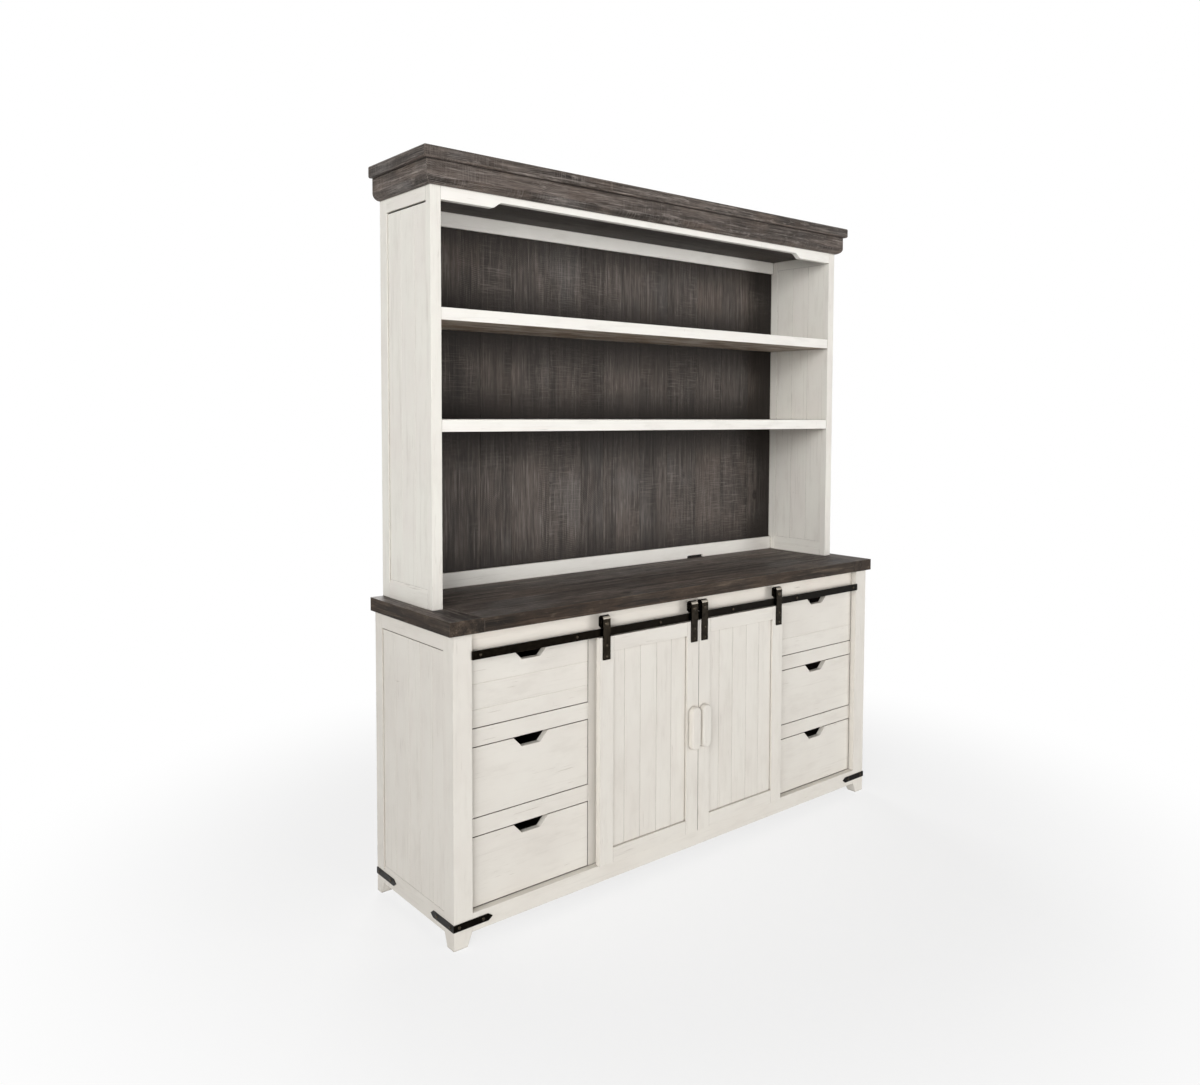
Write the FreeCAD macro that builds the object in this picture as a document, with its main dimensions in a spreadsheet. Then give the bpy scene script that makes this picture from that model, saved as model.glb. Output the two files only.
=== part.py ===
"""Farmhouse buffet with sliding barn doors and six drawers, and the open hutch that stands on it.

Frame: +Z up, +X to the viewer's right, the front faces -Y. The origin is on the floor, below the
middle of the whole piece. Lengths are in millimetres.
"""
import FreeCAD, Part
import os
import re

import Sketcher
from FreeCAD import Placement, Rotation, Vector

# Driving sizes
SIZES = {
    # Whole piece and counter
    "overall_height": 2112,
    "counter_width": 1778,
    "counter_depth": 457,
    "counter_height": 876,
    "counter_thick": 39,
    "end_board": 104,
    "side_overhang": 15,
    "front_overhang": 12,
    # Posts and feet
    "post_width": 57,
    "front_post_depth": 50,
    "rear_post_depth": 42,
    "foot_height": 40,
    "foot_taper": 16,
    "rail_clear": 36,
    # Side frames of the buffet
    "bottom_rail": 50,
    "side_top_rail": 46,
    "side_rail_thick": 20,
    "side_bevel": 12,
    "side_panel_recess": 4,
    "side_panel_thick": 14,
    "slot_height": 4,
    "slot_depth": 8,
    # Face frame and carcass
    "face_recess": 21,
    "face_thick": 20,
    "drawer_open_width": 401.5,
    "drawer_rail": 49,
    "face_stile": 45,
    "partition_thick": 18,
    "floor_thick": 18,
    "back_thick": 6,
    "back_inset": 4,
    # Loose shelf behind the doors
    "inner_shelf_thick": 18,
    "inner_shelf_rise": 330,
    "inner_shelf_gap": 1,
    "pin_radius": 3.5,
    "pin_reach": 9,
    "pin_inset": 45,
    # Drawers
    "front_gap": 2.2,
    "front_thick": 18,
    "groove_width": 2.4,
    "groove_depth": 1.6,
    "notch_top": 114,
    "notch_bottom": 60,
    "notch_depth": 28,
    "notch_round": 4,
    "box_gap": 4,
    "box_side": 12,
    "box_lift": 12,
    "box_height": 132,
    "box_rear_gap": 21,
    "box_bottom": 6,
    "box_bottom_lift": 8,
    "runner_width": 10,
    "runner_height": 12,
    "runner_rise": 76,
    "runner_play": 0.3,
    # Doors
    "door_reveal": 19,
    "door_meeting": 1,
    "door_proud": 11,
    "door_thick": 18,
    "door_rise": 1,
    "door_top_gap": 2,
    "door_stile": 50,
    "door_rail": 44,
    "door_panel_recess": 7,
    "door_panel_thick": 8,
    # Pulls
    "pull_width": 38,
    "pull_height": 137,
    "pull_proud": 20,
    "pull_inset": 3,
    "pull_rise": 269.5,
    "pull_round_share": 0.49,
    "pull_ease": 6.5,
    # Track
    "track_drop": 1.4,
    "track_height": 23.5,
    "track_thick": 5,
    "track_lap": 1,
    "track_end": 24,
    "spacer_radius": 6,
    "track_bolt_radius": 3,
    "track_bolt_grip": 14,
    "track_head_radius": 4.5,
    "track_head_top": 3,
    "track_head_height": 3,
    # Hangers and wheels
    "hanger_width": 26,
    "hanger_thick": 4,
    "hanger_inset": 8.5,
    "hanger_lap": 65.5,
    "hanger_space": 16,
    "hanger_top_gap": 8.9,
    "hanger_bend_share": 0.47,
    "hook_gap": 2.7,
    "hanger_back_gap": 6,
    "tread_radius": 14,
    "flange_radius": 17.5,
    "wheel_width": 11,
    "tread_width": 5.6,
    "wheel_lift": 0.3,
    "axle_radius": 4,
    "axle_play": 0.05,
    "axle_head_radius": 7,
    "axle_head_height": 3,
    "nut_radius": 6.5,
    "nut_height": 4,
    "screw_radius": 2,
    "screw_grip": 12,
    "screw_head_radius": 4,
    "screw_head_top": 2.5,
    "screw_head_height": 2,
    "screw_low": 10,
    "screw_high": 42,
    # Corner straps
    "strap_leg": 120,
    "strap_height": 19,
    "strap_plate": 2.5,
    "strap_tip": 13,
    "strap_rise": 51.5,
    "strap_bolt_near": 15,
    "strap_bolt_far": 88,
    "strap_bolt_radius": 2.5,
    "strap_bolt_grip": 14,
    "strap_head_radius": 5,
    "strap_head_top": 3,
    "strap_head_height": 2.5,
    # Hutch
    "hutch_inset": 39,
    "hutch_depth": 296,
    "hutch_stile": 32,
    "hutch_front_stile": 26,
    "hutch_rear_stile": 43,
    "hutch_bottom_rail": 53,
    "hutch_bevel": 10,
    "hutch_panel_recess": 4,
    "hutch_panel_thick": 27,
    "hutch_ledge": 22,
    "hutch_panel_drop": 38,
    "hutch_back_thick": 8,
    "hutch_back_inset": 2,
    "back_rail_thick": 10,
    "back_rail_top": 44,
    "back_rail_bottom": 48,
    "cable_width": 80,
    "cable_height": 10,
    "cable_place": 400,
    "cable_round": 5,
    "shelf_thick": 34,
    "shelf_setback": 1.5,
    "lower_bay_share": 0.4528,
    "middle_bay_share": 0.251,
    "valance_thick": 20,
    "valance_drop": 36,
    "valance_step": 165,
    "valance_run": 24,
    "valance_rise": 17,
    "valance_round": 14,
    "soffit_thick": 16,
    "soffit_drop": 4,
    # Cornice
    "cornice_height": 94,
    "cap_thick": 33,
    "cap_reach": 34.5,
    "cap_board": 90,
    "cap_ease": 5,
    "mould_reach": 22.5,
    "mould_round_share": 0.9,
    # Dowels between the hutch and the counter
    "dowel_radius": 5,
    "dowel_length": 44,
    "dowel_inset": 60,
    # Clearances, the seams between boards and the overrun of cuts
    "hole_clear": 0.1,
    "seam": 0.4,
    "overrun": 2,
}

# Planes and places that follow from the driving sizes
DERIVED = {
    "rear": "(counter_depth - front_overhang + door_proud + pull_proud) / 2",
    "counter_front": "rear - counter_depth",
    "post_front": "counter_front + front_overhang",
    "face_front": "post_front + face_recess",
    "face_rear": "face_front + face_thick",
    "back_front": "rear - back_inset - back_thick",
    "base_half": "counter_width / 2 - side_overhang",
    "post_inner": "base_half - post_width",
    "base_top": "counter_height - counter_thick",
    "floor_top": "rail_clear + bottom_rail",
    "hook_height": "flange_radius + hook_gap + hanger_thick",
    "top_rail": "track_height - track_drop + wheel_lift + tread_radius + hook_height + hanger_top_gap",
    "face_top": "base_top - top_rail",
    "drawer_open_height": "(face_top - floor_top - 2 * drawer_rail) / 3",
    "drawer_pitch": "drawer_open_height + drawer_rail",
    "box_length": "back_front - face_front - front_thick - box_rear_gap",
    "column_inner": "post_inner - drawer_open_width",
    "partition_inner": "column_inner - partition_thick",
    "side_rear": "rear - rear_post_depth",
    "side_front": "post_front + front_post_depth",
    "track_bottom": "face_top - track_drop",
    "track_top": "track_bottom + track_height",
    "track_half": "post_inner + track_lap",
    "door_width": "column_inner - door_meeting - door_reveal",
    "door_front": "post_front - door_proud",
    "door_back": "door_front + door_thick",
    "door_bottom": "floor_top + door_rise",
    "door_top": "track_bottom - door_top_gap",
    "track_middle": "door_front + hanger_space / 2",
    "track_face": "track_middle - track_thick / 2",
    "hanger_face": "door_front - hanger_thick",
    "hanger_bottom": "door_top - hanger_lap",
    "hanger_depth": "hanger_space + 2 * hanger_thick",
    "hanger_bend": "hanger_bend_share * hanger_space",
    "axle_height": "track_top + wheel_lift + tread_radius",
    "hanger_top": "axle_height + hook_height",
    "pull_round": "pull_round_share * pull_width",
    "hutch_width": "counter_width - 2 * hutch_inset",
    "hutch_half": "hutch_width / 2",
    "hutch_inner": "hutch_half - hutch_stile",
    "hutch_front": "rear - hutch_depth",
    "hutch_side_front": "hutch_front + hutch_front_stile",
    "hutch_side_rear": "rear - hutch_rear_stile",
    "hutch_back_front": "rear - hutch_back_inset - hutch_back_thick",
    "back_rail_front": "hutch_back_front - back_rail_thick",
    "cap_bottom": "overall_height - cap_thick",
    "cornice_bottom": "overall_height - cornice_height",
    "hutch_panel_top": "cornice_bottom - hutch_panel_drop",
    "hutch_panel_bottom": "counter_height + hutch_bottom_rail",
    "valance_bottom": "cornice_bottom - valance_drop",
    "mould_round": "mould_round_share * mould_reach",
    "soffit_bottom": "cornice_bottom - soffit_drop",
    "bays_height": "soffit_bottom - counter_height - 2 * shelf_thick",
    "shelf_lower_height": "counter_height + lower_bay_share * bays_height + shelf_thick",
    "shelf_upper_height": "shelf_lower_height + middle_bay_share * bays_height + shelf_thick",
}

# Widths of planks side by side, from the front or the left
COUNTER_PLANK_SHARES = (0.2, 0.2, 0.2, 0.2, 0.2)
SIDE_PLANK_SHARES = (0.19, 0.195, 0.185, 0.23, 0.2)
DOOR_PLANK_SHARES = (0.16, 0.21, 0.22, 0.205, 0.205)
HUTCH_SIDE_PLANK_SHARES = (0.32, 0.34, 0.34)
HUTCH_BACK_PLANK_SHARES = (0.08, 0.1, 0.07, 0.09, 0.08, 0.06, 0.1, 0.08, 0.09, 0.08, 0.09, 0.08)
CAP_PLANK_SHARES = (0.5, 0.5)
# Heights of the seams across the top drawers' fronts
FRONT_GROOVE_SHARES = {"left": (0.256, 0.622), "right": (0.31,)}
# Counts and the two sides
TRACK_BOLTS = 6
SIDES = {"left": "-", "right": "+"}
TIERS = ("bottom", "middle", "top")

doc = FreeCAD.newDocument("buffet_and_hutch")
sheet = doc.addObject("Spreadsheet::Sheet", "dims")
nodes = []


def fill_sheet():
    """Writes each size to the sheet as text, with its name as the cell's alias."""
    cells = {name: str(size) for name, size in SIZES.items()}
    cells.update({name: "=" + formula for name, formula in DERIVED.items()})
    for row, (name, content) in enumerate(cells.items(), 1):
        sheet.set(f"A{row}", name)
        sheet.set(f"B{row}", content)
        sheet.setAlias(f"B{row}", name)
    doc.recompute()


# Tying objects to the sheet

def in_sheet(expression):
    """The expression, with each name in it pointing into the sheet."""
    return re.sub(r"[a-z][a-z_]*", lambda word: "dims." + word.group(), expression)


def bind(thing, name, expression):
    thing.setExpression(name, in_sheet(expression))


def value(expression):
    return float(sheet.evalExpression(in_sheet(expression)))


def place(thing, at, rotation=Rotation()):
    """Puts an object at three expressions, turned by a fixed rotation."""
    thing.Placement = Placement(Vector(), rotation)
    for axis, expression in zip("xyz", at):
        bind(thing, f"Placement.Base.{axis}", expression)


def span(side, near, far):
    """The range of X between two distances from the middle, on one side of it."""
    if side == "+":
        return near, far
    return f"-({far})", f"-({near})"


def rows(shares, low, high):
    """The ranges of planks side by side between two planes, with a seam between neighbours."""
    width = f"(({high}) - ({low}))"
    joints = [f"({low}) + {sum(shares[:k])} * {width}" for k in range(1, len(shares))]
    starts = [low] + [f"{joint} + seam / 2" for joint in joints]
    ends = [f"{joint} - seam / 2" for joint in joints] + [high]
    return list(zip(starts, ends))


# Solids

def direction(out):
    """The unit vector of a signed axis, such as -y."""
    sign, axis = out
    unit = Vector(*(float(letter == axis) for letter in "xyz"))
    return unit if sign == "+" else -unit


def facing(out):
    """The rotation that turns a solid's own +z to a signed axis."""
    return Rotation(direction("+z"), direction(out))


def lying(plane):
    """The rotation that lays a sketch on two named axes; its pad then runs along their cross product."""
    across, up = (direction("+" + axis) for axis in plane)
    return Rotation(across, up, across.cross(up), "ZXY")


def moved(at, out, distance):
    """The point that lies a distance from another, along an outward direction."""
    sign, axis = out
    place_on = "xyz".index(axis)
    point = list(at)
    point[place_on] = f"{at[place_on]} {sign} ({distance})"
    return point


def box(name, x, y, z):
    """A board between two planes on each axis."""
    board = doc.addObject("Part::Box", name)
    for size, (low, high) in zip(("Length", "Width", "Height"), (x, y, z)):
        bind(board, size, f"({high}) - ({low})")
    place(board, (x[0], y[0], z[0]))
    return board


def cylinder(name, out, at, length, radius):
    """A round bar that starts at a point and runs outward."""
    bar = doc.addObject("Part::Cylinder", name)
    bind(bar, "Radius", radius)
    bind(bar, "Height", length)
    place(bar, at, facing(out))
    return bar


def cone(name, out, at, length, radius, top):
    bar = doc.addObject("Part::Cone", name)
    bind(bar, "Radius1", radius)
    bind(bar, "Radius2", top)
    bind(bar, "Height", length)
    place(bar, at, facing(out))
    return bar


def joined(name, *pieces):
    fuse = doc.addObject("Part::MultiFuse", name)
    fuse.Shapes = list(pieces)
    return fuse


def common(name, base, tool):
    both = doc.addObject("Part::Common", name)
    both.Base = base
    both.Tool = tool
    return both


def cut(name, base, tools):
    """A piece with the tools' shapes taken out of it."""
    tool = tools[0]
    if len(tools) > 1:
        tool = doc.addObject("Part::Compound", name + "_tools")
        tool.Links = tools
    left = doc.addObject("Part::Cut", name)
    left.Base = base
    left.Tool = tool
    return left


def outline(body, points):
    """A closed sketch on the body's XY plane, each corner tied to the sheet."""
    sketch = body.newObject("Sketcher::SketchObject", body.Name + "_outline")
    plane = next(item for item in body.Origin.OriginFeatures if item.Role == "XY_Plane")
    sketch.AttachmentSupport = [(plane, "")]
    sketch.MapMode = "FlatFace"
    corners = [Vector(value(across), value(up), 0) for across, up in points]
    for here, there in zip(corners, corners[1:] + corners[:1]):
        sketch.addGeometry(Part.LineSegment(here, there))
    for edge, (across, up) in enumerate(points):
        sketch.addConstraint(Sketcher.Constraint("Coincident", (edge - 1) % len(points), 2, edge, 1))
        for kind, axis, place_on in (("DistanceX", -2, across), ("DistanceY", -1, up)):
            if place_on == "0":
                sketch.addConstraint(Sketcher.Constraint("PointOnObject", edge, 1, axis))
                continue
            number = sketch.addConstraint(Sketcher.Constraint(kind, -1, 1, edge, 1, value(place_on)))
            bind(sketch, f"Constraints[{number}]", place_on)
    return sketch


def rounded(body, base, edges, radius):
    """A fillet on the chosen edges of the body's last feature."""
    fillet = body.newObject("PartDesign::Fillet", body.Name + "_round")
    fillet.Base = (base, edges)
    bind(fillet, "Radius", radius)
    doc.recompute([fillet])
    return fillet


def upright_edges(feature, corners):
    """The edges along the pad's direction that stand on the given corners of its outline."""
    near = Part.Precision.confusion()
    names = []
    for number, edge in enumerate(feature.Shape.Edges, 1):
        ends = [vertex.Point for vertex in edge.Vertexes]
        for corner in corners:
            if all(abs(end.x - corner.x) + abs(end.y - corner.y) < near for end in ends):
                names.append(f"Edge{number}")
    return names


def far_edges(feature, level):
    """The edges that lie on the pad's far face."""
    near = Part.Precision.confusion()
    names = []
    for number, edge in enumerate(feature.Shape.Edges, 1):
        if all(abs(vertex.Point.z - level) < near for vertex in edge.Vertexes):
            names.append(f"Edge{number}")
    return names


def prism(name, plane, points, at, length, rounds=None, ease=None):
    """An outline padded to a length. rounds gives some corners a radius, ease rounds the far face."""
    body = doc.addObject("PartDesign::Body", name)
    place(body, at, lying(plane))
    sketch = outline(body, points)
    tip = body.newObject("PartDesign::Pad", body.Name + "_pad")
    tip.Profile = sketch
    bind(tip, "Length", length)
    doc.recompute([sketch, tip])
    for radius in dict.fromkeys((rounds or {}).values()):
        picked = [points[k] for k in rounds if rounds[k] == radius]
        corners = [Vector(value(across), value(up), 0) for across, up in picked]
        tip = rounded(body, tip, upright_edges(tip, corners), radius)
    if ease:
        tip = rounded(body, tip, far_edges(tip, value(length)), ease)
    return body


def turned(name, points, at):
    """A half outline of radius and length, turned about the Y direction."""
    body = doc.addObject("PartDesign::Body", name)
    place(body, at)
    sketch = outline(body, points)
    turn = body.newObject("PartDesign::Revolution", body.Name + "_turn")
    turn.Profile = sketch
    turn.ReferenceAxis = (sketch, ["V_Axis"])
    turn.Angle = 360
    return body


def bolt(name, out, seat, radius, grip, head, head_top, head_height):
    """A fastener whose head sits on a seat point and whose shank goes in behind it."""
    shank = cylinder(name + "_shank", out, moved(seat, out, f"-({grip})"), grip, radius)
    cap = cone(name + "_head", out, seat, head_height, head, head_top)
    return joined(name, shank, cap)


def hole(name, out, seat, radius, depth):
    """The cutter for a fastener's hole, from a depth behind its seat to past the seat."""
    start = moved(seat, out, f"-({depth})")
    return cylinder(name, out, start, f"{depth} + overrun", f"{radius} + hole_clear")


def node(label, *solids):
    """One named piece, or one named group of like pieces."""
    piece = solids[0]
    if len(solids) > 1:
        piece = doc.addObject("Part::Compound", label)
        piece.Links = list(solids)
    piece.Label = label
    nodes.append(piece)


# Counter

def dowel_seats(side):
    """The points on the counter's top where one side of the hutch is located."""
    x = f"{side}(hutch_half - hutch_stile / 2)"
    return [(x, y, "counter_height")
            for y in ("hutch_side_front + dowel_inset", "hutch_side_rear - dowel_inset")]


def counter():
    inner = "counter_width / 2 - end_board"
    height = ("base_top", "counter_height")
    planks = [box("counter_plank", (f"-({inner})", inner), depth, height)
              for depth in rows(COUNTER_PLANK_SHARES, "counter_front", "rear")]
    node("counter_planks", *planks)
    ends = []
    for side in SIDES.values():
        x = span(side, inner, "counter_width / 2")
        board = box("counter_end_board", x, ("counter_front", "rear"), height)
        holes = [hole("dowel_hole", "+z", seat, "dowel_radius", "dowel_length / 2")
                 for seat in dowel_seats(side)]
        ends.append(cut("counter_end", board, holes))
    node("counter_ends", *ends)
    dowels = []
    for side in SIDES.values():
        for seat in dowel_seats(side):
            start = moved(seat, "+z", "-dowel_length / 2")
            dowels.append(cylinder("dowel", "+z", start, "dowel_length", "dowel_radius"))
    node("hutch_dowels", *dowels)


# Buffet frame

def tapered(width, inner_is_high):
    """A post's outline from one side, with its foot tapered on the inner edge."""
    if inner_is_high:
        return [("0", "0"), (f"{width} - foot_taper", "0"), (width, "foot_height"),
                (width, "base_top"), ("0", "base_top")]
    return [("foot_taper", "0"), (width, "0"), (width, "base_top"),
            ("0", "base_top"), ("0", "foot_height")]


def post(name, side, y_low, depth, front):
    """A corner post, tapered at the foot towards the middle of the piece both ways."""
    x_low, _ = span(side, "post_inner", "base_half")
    from_front = prism(name + "_front_view", "xz", tapered("post_width", side == "-"),
                       (x_low, f"{y_low} + {depth}", "0"), depth)
    from_side = prism(name + "_side_view", "yz", tapered(depth, front), (x_low, y_low, "0"), "post_width")
    return common(name, from_front, from_side)


def strap_seats(side, front):
    """Where one corner strap's bolts sit: outward direction, seat point, and if it is the far bolt."""
    height = "strap_rise + strap_height / 2"
    out = side + "x"
    x_side = f"{side}(base_half + strap_plate)"
    seats = []
    for far, reach in enumerate(("strap_bolt_near", "strap_bolt_far")):
        along_side = f"post_front + {reach}" if front else f"rear - {reach}"
        seats.append((out, (x_side, along_side, height), bool(far)))
        if front:
            x_front = f"{side}(base_half - {reach})"
            seats.append(("-y", (x_front, "post_front - strap_plate", height), bool(far)))
    return seats


def strap_holes(side, front, far, outs):
    """The cutters for the strap bolts that go into one post or rail."""
    return [hole("strap_hole", out, seat, "strap_bolt_radius", "strap_bolt_grip")
            for out, seat, is_far in strap_seats(side, front) if is_far == far and out in outs]


def posts():
    front = []
    rear = []
    for side in SIDES.values():
        blank = post("front_post", side, "post_front", "front_post_depth", True)
        front.append(cut("front_post_bored", blank, strap_holes(side, True, False, ("-x", "+x", "-y"))))
        blank = post("rear_post", side, "side_rear", "rear_post_depth", False)
        rear.append(cut("rear_post_bored", blank, strap_holes(side, False, False, ("-x", "+x"))))
    node("front_posts", *front)
    node("rear_posts", *rear)


def mirrored(points, width):
    """An outline drawn from its other end."""
    ends = {"0": width, width: "0"}
    return [(ends.get(across, f"{width} - ({across})"), up) for across, up in points]


def bevelled(side, thick, height, recess, bevel, inner="0", ledge=None):
    """A side rail's section, its upper outer edge cut down to the panel's face, and maybe a ledge inside."""
    points = [("0", "0"), (thick, "0"), (thick, f"{height} - {bevel}"), (f"{thick} - {recess}", height),
              (inner, height)]
    if ledge:
        points += [(inner, f"{ledge} + {inner}"), ("0", ledge)]
    return points if side == "+" else mirrored(points, thick)


def shadow_slot(side, face, y, top):
    """The cutter for the shadow line along a panel's upper edge."""
    x = span(side, f"{face} - slot_depth", f"{face} + overrun")
    return box("shadow_slot", x, y, (f"{top} - slot_height", f"{top} + overrun"))


def side_frames():
    rails = []
    panels = []
    for side in SIDES.values():
        x = span(side, "base_half - side_rail_thick", "base_half")
        rails.append(box("side_top_rail_board", x, ("side_front", "side_rear"),
                         ("base_top - side_top_rail", "base_top")))
        section = bevelled(side, "side_rail_thick", "bottom_rail", "side_panel_recess", "side_bevel")
        blank = prism("side_bottom_rail", "xz", section, (x[0], "side_rear", "rail_clear"),
                      "side_rear - side_front")
        outs = ("-x", "+x")
        holes = strap_holes(side, True, True, outs) + strap_holes(side, False, True, outs)
        rails.append(cut("side_bottom_rail_bored", blank, holes))
        face = "base_half - side_panel_recess"
        top = "base_top - side_top_rail"
        x = span(side, f"{face} - side_panel_thick", face)
        for y in rows(SIDE_PLANK_SHARES, "side_front", "side_rear"):
            board = box("side_board", x, y, ("floor_top", top))
            panels.append(cut("side_plank", board, [shadow_slot(side, face, y, top)]))
    node("side_rails", *rails)
    node("side_panels", *panels)


def track_seats():
    """Where the track's bolts sit on its front face."""
    first = "track_half - track_end"
    pitch = f"2 * ({first}) / {TRACK_BOLTS - 1}"
    middle = "track_bottom + track_height / 2"
    return [(f"{k} * {pitch} - ({first})", "track_face", middle) for k in range(TRACK_BOLTS)]


def face_frame():
    depth = ("face_front", "face_rear")
    across = ("-post_inner", "post_inner")
    grip = "face_front - track_face + track_bolt_grip"
    blank = box("top_rail_board", across, depth, ("face_top", "base_top"))
    holes = [hole("track_bolt_hole", "-y", seat, "track_bolt_radius", grip) for seat in track_seats()]
    node("face_top_rail", cut("face_top_rail_bored", blank, holes))
    blank = box("bottom_rail_board", across, ("post_front", "face_front"), ("rail_clear", "floor_top"))
    holes = [cutter for side in SIDES.values() for cutter in strap_holes(side, True, True, ("-y",))]
    node("face_bottom_rail", cut("face_bottom_rail_bored", blank, holes))
    rails = []
    stiles = []
    for side in SIDES.values():
        for gap in (1, 2):
            low = f"floor_top + {gap} * drawer_pitch - drawer_rail"
            rails.append(box("drawer_rail_board", span(side, "column_inner", "post_inner"), depth,
                             (low, f"{low} + drawer_rail")))
        stiles.append(box("face_stile_board", span(side, "column_inner - face_stile", "column_inner"), depth,
                          ("floor_top", "face_top")))
    node("drawer_rails", *rails)
    node("face_stiles", *stiles)


def pin_seats(side):
    """The points on a partition's inner face that the shelf pins stand out from."""
    height = "floor_top + inner_shelf_rise - pin_radius"
    return [(f"{side}(partition_inner)", y, height)
            for y in ("face_rear + pin_inset", "back_front - pin_inset")]


def base_floor():
    """The floor board, cut round the four posts so that it reaches the side rails."""
    half = "base_half - side_rail_thick"
    middle = [f"{half} - post_inner", f"{half} + post_inner"]
    wide = f"2 * ({half})"
    front = "side_front - face_front"
    rear = "side_rear - face_front"
    deep = "back_front - face_front"
    points = [(middle[0], "0"), (middle[1], "0"), (middle[1], front), (wide, front),
              (wide, rear), (middle[1], rear), (middle[1], deep), (middle[0], deep),
              (middle[0], rear), ("0", rear), ("0", front), (middle[0], front)]
    at = (f"-({half})", "face_front", "floor_top - floor_thick")
    return prism("base_floor", "xy", points, at, "floor_thick")


def carcass():
    partitions = []
    pins = []
    for side in SIDES.values():
        inward = "+x" if side == "-" else "-x"
        blank = box("partition_board", span(side, "partition_inner", "column_inner"),
                    ("face_rear", "back_front"), ("floor_top", "base_top"))
        holes = [hole("pin_hole", inward, seat, "pin_radius", "pin_reach") for seat in pin_seats(side)]
        partitions.append(cut("partition", blank, holes))
        pins += [cylinder("pin", inward, moved(seat, inward, "-pin_reach"), "2 * pin_reach", "pin_radius")
                 for seat in pin_seats(side)]
    node("partitions", *partitions)
    node("shelf_pins", *pins)
    across = ("-post_inner", "post_inner")
    node("base_floor", base_floor())
    node("base_back", box("base_back", across, ("back_front", "back_front + back_thick"),
                          ("floor_top - floor_thick", "base_top")))
    half = "partition_inner - inner_shelf_gap"
    low = "floor_top + inner_shelf_rise"
    node("inner_shelf", box("inner_shelf", (f"-({half})", half),
                            ("face_rear + inner_shelf_gap", "back_front - inner_shelf_gap"),
                            (low, f"{low} + inner_shelf_thick")))


# Corner straps

def strap_leg(side_is_high):
    """A strap leg with a pointed tip, drawn from its blunt end or towards it."""
    middle = "strap_height / 2"
    if side_is_high:
        return [("strap_tip", "0"), ("strap_leg", "0"), ("strap_leg", "strap_height"),
                ("strap_tip", "strap_height"), ("0", middle)]
    return [("0", "0"), ("strap_leg - strap_tip", "0"), ("strap_leg", middle),
            ("strap_leg - strap_tip", "strap_height"), ("0", "strap_height")]


def corner_straps():
    straps = []
    bolts = []
    for side in SIDES.values():
        x_low, x_high = span(side, "base_half", "base_half + strap_plate")
        for front in (True, False):
            y_low = "post_front" if front else "rear - strap_leg"
            leg = prism("strap_side_leg", "yz", strap_leg(not front), (x_low, y_low, "strap_rise"),
                        "strap_plate")
            holes = [hole("strap_bore", out, seat, "strap_bolt_radius", "strap_plate + overrun")
                     for out, seat, _ in strap_seats(side, front)]
            if front:
                x_start = x_low if side == "-" else f"{x_high} - strap_leg"
                across = prism("strap_front_leg", "xz", strap_leg(side == "+"),
                               (x_start, "post_front", "strap_rise"), "strap_plate")
                leg = joined("strap_angle", leg, across)
            straps.append(cut("strap", leg, holes))
            bolts += [bolt("strap_bolt", out, seat, "strap_bolt_radius", "strap_bolt_grip",
                           "strap_head_radius", "strap_head_top", "strap_head_height")
                      for out, seat, _ in strap_seats(side, front)]
    node("corner_straps", *straps)
    node("strap_bolts", *bolts)


# Drawers and their runners

def runners():
    strips = []
    for side in SIDES.values():
        for tier in range(len(TIERS)):
            low = f"floor_top + {tier} * drawer_pitch + runner_rise"
            for x in (span(side, "post_inner - runner_width", "post_inner"),
                      span(side, "column_inner", "column_inner + runner_width")):
                strips.append(box("runner", x, ("face_rear", "back_front"), (low, f"{low} + runner_height")))
    node("drawer_runners", *strips)


def front_grooves(shares, x_low, z_low, wide, tall):
    """The cutters for the seams across a drawer front, at shares of its height."""
    section = [("0", "0"), ("overrun", "0"), ("overrun + groove_depth", "groove_width / 2"),
               ("overrun", "groove_width"), ("0", "groove_width")]
    heights = [f"{z_low} + {share} * ({tall}) - groove_width / 2" for share in shares]
    return [prism("front_groove", "yz", section, (x_low, "face_front - overrun", height), wide)
            for height in heights]


def drawer_front(name, x_low, z_low, groove_shares):
    wide = "drawer_open_width - 2 * front_gap"
    tall = "drawer_open_height - 2 * front_gap"
    middle = f"({wide}) / 2"
    floor = f"{tall} - notch_depth"
    points = [("0", "0"), (wide, "0"), (wide, tall), (f"{middle} + notch_top / 2", tall),
              (f"{middle} + notch_bottom / 2", floor), (f"{middle} - notch_bottom / 2", floor),
              (f"{middle} - notch_top / 2", tall), ("0", tall)]
    at = (f"{x_low} + front_gap", "face_front + front_thick", f"{z_low} + front_gap")
    rounds = {4: "notch_round", 5: "notch_round"}
    front = prism(name + "_board", "xz", points, at, "front_thick", rounds)
    if groove_shares:
        front = cut(name + "_grooved", front, front_grooves(groove_shares, at[0], at[2], wide, tall))
    node(name + "_front", front)


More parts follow.
